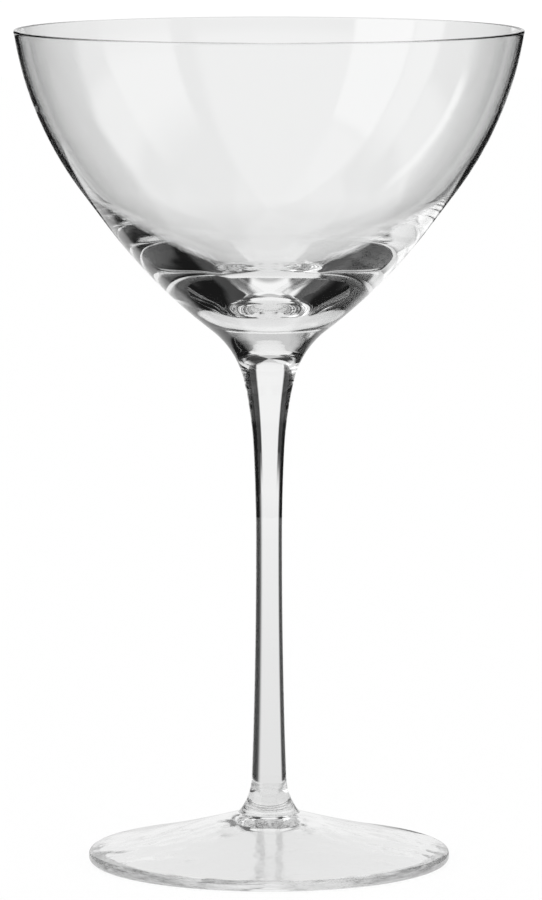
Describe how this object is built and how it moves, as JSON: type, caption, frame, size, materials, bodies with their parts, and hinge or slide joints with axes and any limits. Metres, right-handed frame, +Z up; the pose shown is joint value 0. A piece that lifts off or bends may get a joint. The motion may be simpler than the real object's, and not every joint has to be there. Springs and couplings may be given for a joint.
{
  "type": "martini glass",
  "caption": "Stemmed cocktail glass of clear glass: wide open curved bowl with a thick base, slender waisted stem and shallow conical foot.",
  "frame": {"origin": "centre of the foot's underside, at the level of the table", "axes": "+Z up along the glass's axis of revolution; X and Y are equal, because the glass is round"},
  "size_m": [0.1148, 0.1148, 0.189],
  "materials": {
    "clear_glass": "fire-polished, colourless"
  },
  "bodies": {
    "root": {"bowl": "clear_glass", "stem": "clear_glass", "foot": "clear_glass"}
  },
  "joints": []
}
